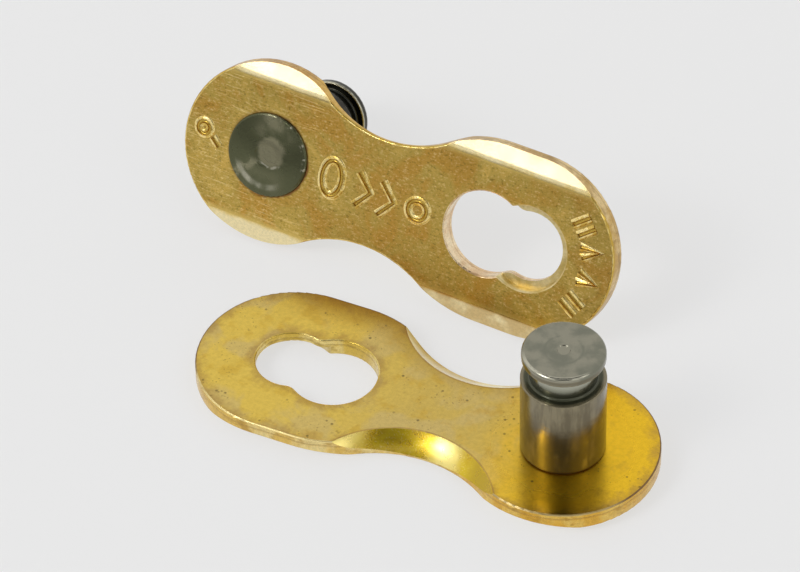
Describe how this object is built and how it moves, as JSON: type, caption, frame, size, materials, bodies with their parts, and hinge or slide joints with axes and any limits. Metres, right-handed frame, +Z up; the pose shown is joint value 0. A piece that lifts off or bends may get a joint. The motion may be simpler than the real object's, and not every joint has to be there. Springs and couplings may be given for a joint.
{
  "type": "chain connecting link",
  "caption": "Quick-release connecting link for a bicycle chain: waisted side plates with keyholes and riveted, necked pins, its halves resting apart.",
  "frame": {"origin": "on the surface that the halves rest on, under the middle of the pair's overall footprint", "axes": "+X runs along the lying plate from its keyhole end to its pin; +Y points from the lying half to the standing half; +Z is up"},
  "size_m": [0.026, 0.0188, 0.0079],
  "materials": {
    "gold_plate": "gold-coloured hard coating, satin, with fine pressing and tumbling marks",
    "pin_steel": "bare dark grey steel, turned and tumbled"
  },
  "bodies": {
    "root": {"lying_plate": "gold_plate", "lying_pin": "pin_steel", "standing_plate": "gold_plate", "standing_pin": "pin_steel"}
  },
  "joints": []
}
